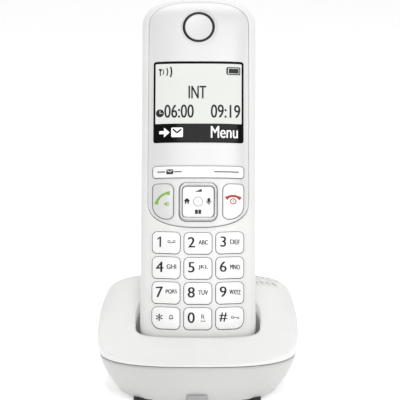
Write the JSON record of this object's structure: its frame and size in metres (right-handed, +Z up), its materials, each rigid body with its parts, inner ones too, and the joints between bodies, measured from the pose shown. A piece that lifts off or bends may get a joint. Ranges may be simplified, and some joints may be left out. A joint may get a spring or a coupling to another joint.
{
  "type": "cordless phone with base",
  "caption": "Cordless telephone handset leaning back in its desk charging base, with keypad, navigation pad, display and rear battery cover",
  "frame": {"origin": "on the table under the middle of the bounding box of the base with the handset docked", "axes": "+Z up, the keypad and display face -Y, +X is to the right of the keypad's left edge as the user sees it"},
  "size_m": [0.085, 0.1028, 0.159],
  "materials": {
    "base_shell": "semi-gloss moulded ABS",
    "base_lower": "semi-gloss moulded ABS",
    "board": "solder mask over glass-epoxy",
    "tinned_steel": "tin-plated sheet",
    "foot_rubber": "matte",
    "screw_steel": "zinc-plated",
    "jack_black": "moulded",
    "jack_grey": "moulded",
    "contact_metal": "gold-flashed spring strip",
    "paging_plastic": "fine texture",
    "switch_black": "moulded",
    "handset_shell": "semi-gloss moulded ABS",
    "faceplate": "clear-coated, high gloss",
    "display": "clear acrylic with a black printed border",
    "lcd": "liquid-crystal panel",
    "light_guide": "clear acrylic",
    "black_gloss": "high gloss",
    "earpiece_white": "high gloss",
    "dark_module": "moulded with a pressed cap",
    "bezel_chrome": "satin plating",
    "key_white": "satin",
    "key_core": "moulded",
    "key_grey": "satin",
    "keymat_silicone": "moulded silicone",
    "dome_steel": "bright",
    "cell_sleeve": "shrink sleeve",
    "contact_nickel": "nickel-plated"
  },
  "bodies": {
    "base": {"base_upper_shell": "base_shell", "base_lower_shell": "base_lower", "base_board": "board", "base_shield_can": "tinned_steel", "base_antenna": "tinned_steel", "base_feet": "foot_rubber", "base_screws": "screw_steel", "power_jack": "jack_black", "line_jack": "jack_grey", "paging_switch": "switch_black"},
    "handset": {"handset_front_shell": "handset_shell", "handset_rear_shell": "handset_shell", "faceplate": "faceplate", "display_window": "display", "lcd_panel": "lcd", "light_guide": "light_guide", "earpiece_ring": "black_gloss", "earpiece_cap": "earpiece_white", "earpiece_receiver": "dark_module", "nav_bezel": "bezel_chrome", "keymat": "keymat_silicone", "key_domes": "dome_steel", "handset_board": "board", "shield_can": "tinned_steel", "handset_antenna": "tinned_steel", "microphone": "dark_module", "ringer_speaker": "dark_module", "battery_cells": "cell_sleeve", "battery_contacts": "contact_nickel", "handset_charge_pads": "contact_nickel", "handset_screws": "screw_steel"},
    "charge_spring_left": {"charge_spring_left": "contact_metal"},
    "charge_spring_right": {"charge_spring_right": "contact_metal"},
    "paging_key": {"paging_key": "paging_plastic"},
    "softkey_bar": {"softkey_bar": "key_white"},
    "talk_key": {"talk_key": "key_grey"},
    "end_key": {"end_key": "key_white"},
    "nav_pivot": {"nav_plunger": "key_core"},
    "nav_pad": {"nav_pad": "key_white"},
    "battery_cover": {"battery_cover": "handset_shell"},
    "key_1": {"key_1": "key_white"},
    "key_2": {"key_2": "key_white"},
    "key_3": {"key_3": "key_white"},
    "key_4": {"key_4": "key_white"},
    "key_5": {"key_5": "key_white"},
    "key_6": {"key_6": "key_white"},
    "key_7": {"key_7": "key_white"},
    "key_8": {"key_8": "key_white"},
    "key_9": {"key_9": "key_white"},
    "key_star": {"key_star": "key_white"},
    "key_0": {"key_0": "key_white"},
    "key_hash": {"key_hash": "key_white"}
  },
  "joints": [
    {"name": "handset_lift", "type": "slide", "parent": "base", "child": "handset", "axis": [0, 0.3746, 0.9272], "range_m": [0, 0.06]},
    {"name": "key_1_press", "type": "slide", "parent": "handset", "child": "key_1", "axis": [0, 0.9272, -0.3746], "range_m": [0, 0.0008], "stiffness_N_per_m": 400},
    {"name": "key_2_press", "type": "slide", "parent": "handset", "child": "key_2", "axis": [0, 0.9272, -0.3746], "range_m": [0, 0.0008], "stiffness_N_per_m": 400},
    {"name": "key_3_press", "type": "slide", "parent": "handset", "child": "key_3", "axis": [0, 0.9272, -0.3746], "range_m": [0, 0.0008], "stiffness_N_per_m": 400},
    {"name": "key_4_press", "type": "slide", "parent": "handset", "child": "key_4", "axis": [0, 0.9272, -0.3746], "range_m": [0, 0.0008], "stiffness_N_per_m": 400},
    {"name": "key_5_press", "type": "slide", "parent": "handset", "child": "key_5", "axis": [0, 0.9272, -0.3746], "range_m": [0, 0.0008], "stiffness_N_per_m": 400},
    {"name": "key_6_press", "type": "slide", "parent": "handset", "child": "key_6", "axis": [0, 0.9272, -0.3746], "range_m": [0, 0.0008], "stiffness_N_per_m": 400},
    {"name": "key_7_press", "type": "slide", "parent": "handset", "child": "key_7", "axis": [0, 0.9272, -0.3746], "range_m": [0, 0.0008], "stiffness_N_per_m": 400},
    {"name": "key_8_press", "type": "slide", "parent": "handset", "child": "key_8", "axis": [0, 0.9272, -0.3746], "range_m": [0, 0.0008], "stiffness_N_per_m": 400},
    {"name": "key_9_press", "type": "slide", "parent": "handset", "child": "key_9", "axis": [0, 0.9272, -0.3746], "range_m": [0, 0.0008], "stiffness_N_per_m": 400},
    {"name": "key_star_press", "type": "slide", "parent": "handset", "child": "key_star", "axis": [0, 0.9272, -0.3746], "range_m": [0, 0.0008], "stiffness_N_per_m": 400},
    {"name": "key_0_press", "type": "slide", "parent": "handset", "child": "key_0", "axis": [0, 0.9272, -0.3746], "range_m": [0, 0.0008], "stiffness_N_per_m": 400},
    {"name": "key_hash_press", "type": "slide", "parent": "handset", "child": "key_hash", "axis": [0, 0.9272, -0.3746], "range_m": [0, 0.0008], "stiffness_N_per_m": 400},
    {"name": "talk_key_press", "type": "slide", "parent": "handset", "child": "talk_key", "axis": [0, 0.9272, -0.3746], "range_m": [0, 0.0008], "stiffness_N_per_m": 400},
    {"name": "end_key_press", "type": "slide", "parent": "handset", "child": "end_key", "axis": [0, 0.9272, -0.3746], "range_m": [0, 0.0008], "stiffness_N_per_m": 400},
    {"name": "softkey_rock", "type": "hinge", "parent": "handset", "child": "softkey_bar", "pos_m": [0, 0.00921, 0.08762], "axis": [0, 0.3746, 0.9272], "range_deg": [-1.5, 1.5], "stiffness_Nm_per_rad": 0.15},
    {"name": "nav_tilt", "type": "hinge", "parent": "handset", "child": "nav_pivot", "pos_m": [0, 0.00245, 0.07622], "axis": [1, 0, 0], "range_deg": [-4, 4], "stiffness_Nm_per_rad": 0.05},
    {"name": "nav_rock", "type": "hinge", "parent": "nav_pivot", "child": "nav_pad", "pos_m": [0, 0.00245, 0.07622], "axis": [0, 0.3746, 0.9272], "range_deg": [-4, 4], "stiffness_Nm_per_rad": 0.05},
    {"name": "battery_cover_hinge", "type": "hinge", "parent": "handset", "child": "battery_cover", "pos_m": [0, 0.01354, 0.05329], "axis": [-1, 0, 0], "range_deg": [0, 20]},
    {"name": "charge_spring_left_flex", "type": "slide", "parent": "base", "child": "charge_spring_left", "axis": [0, -0.3746, -0.9272], "range_m": [0, 0.0008], "stiffness_N_per_m": 300},
    {"name": "charge_spring_right_flex", "type": "slide", "parent": "base", "child": "charge_spring_right", "axis": [0, -0.3746, -0.9272], "range_m": [0, 0.0008], "stiffness_N_per_m": 300},
    {"name": "paging_key_press", "type": "slide", "parent": "base", "child": "paging_key", "axis": [0, 1, 0], "range_m": [0, 0.001], "stiffness_N_per_m": 400}
  ]
}
